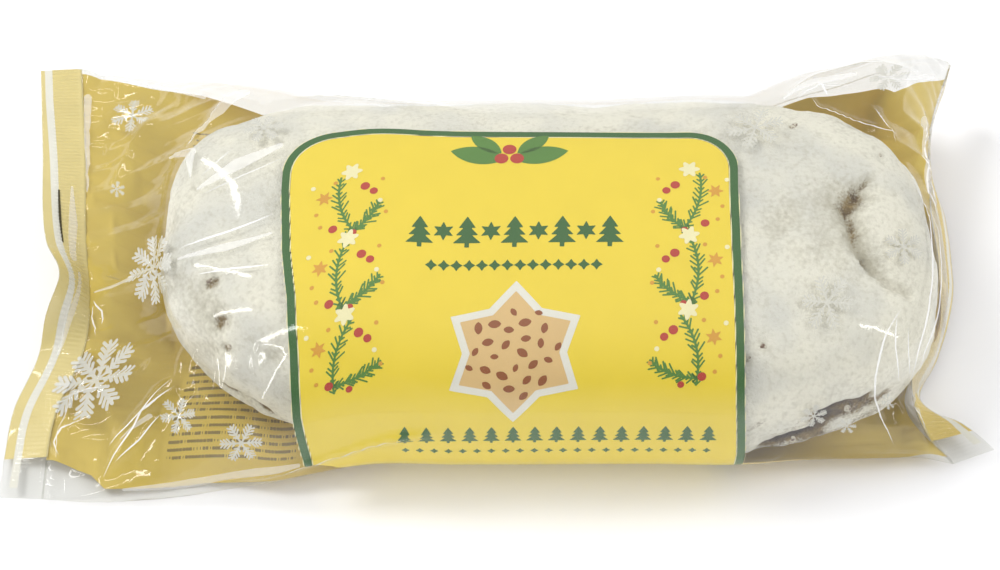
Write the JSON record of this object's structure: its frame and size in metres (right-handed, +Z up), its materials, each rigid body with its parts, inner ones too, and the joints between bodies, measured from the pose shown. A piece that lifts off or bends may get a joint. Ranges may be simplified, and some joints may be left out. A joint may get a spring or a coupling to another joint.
{
  "type": "wrapped stollen",
  "caption": "Long sugared fruit loaf sealed in a clear film pack with a printed panel, flared crimped ends and a flat base.",
  "frame": {"origin": "middle of the bottom of the pack's box, on the surface it lies on", "axes": "+X along the loaf from the spread seal to the tucked one, +Z up"},
  "size_m": [0.3318, 0.1694, 0.0657],
  "materials": {
    "clear_film": "clear polypropylene film, glossy and creased",
    "sugared_crust": "baked dough under icing sugar, matte and powdery",
    "dried_fruit": "raisins and candied peel, dark, wrinkled and slightly glossy",
    "gold_print": "matte gold ink printed on the inside of the film",
    "panel_print": "yellow ink printed on the inside of the film",
    "green_print": "dark green ink printed on the inside of the film",
    "white_print": "white ink printed on the inside of the film",
    "red_print": "red ink printed on the inside of the film",
    "brown_print": "brown ink printed on the inside of the film"
  },
  "bodies": {
    "root": {"film_pack": "clear_film"}
  },
  "joints": []
}
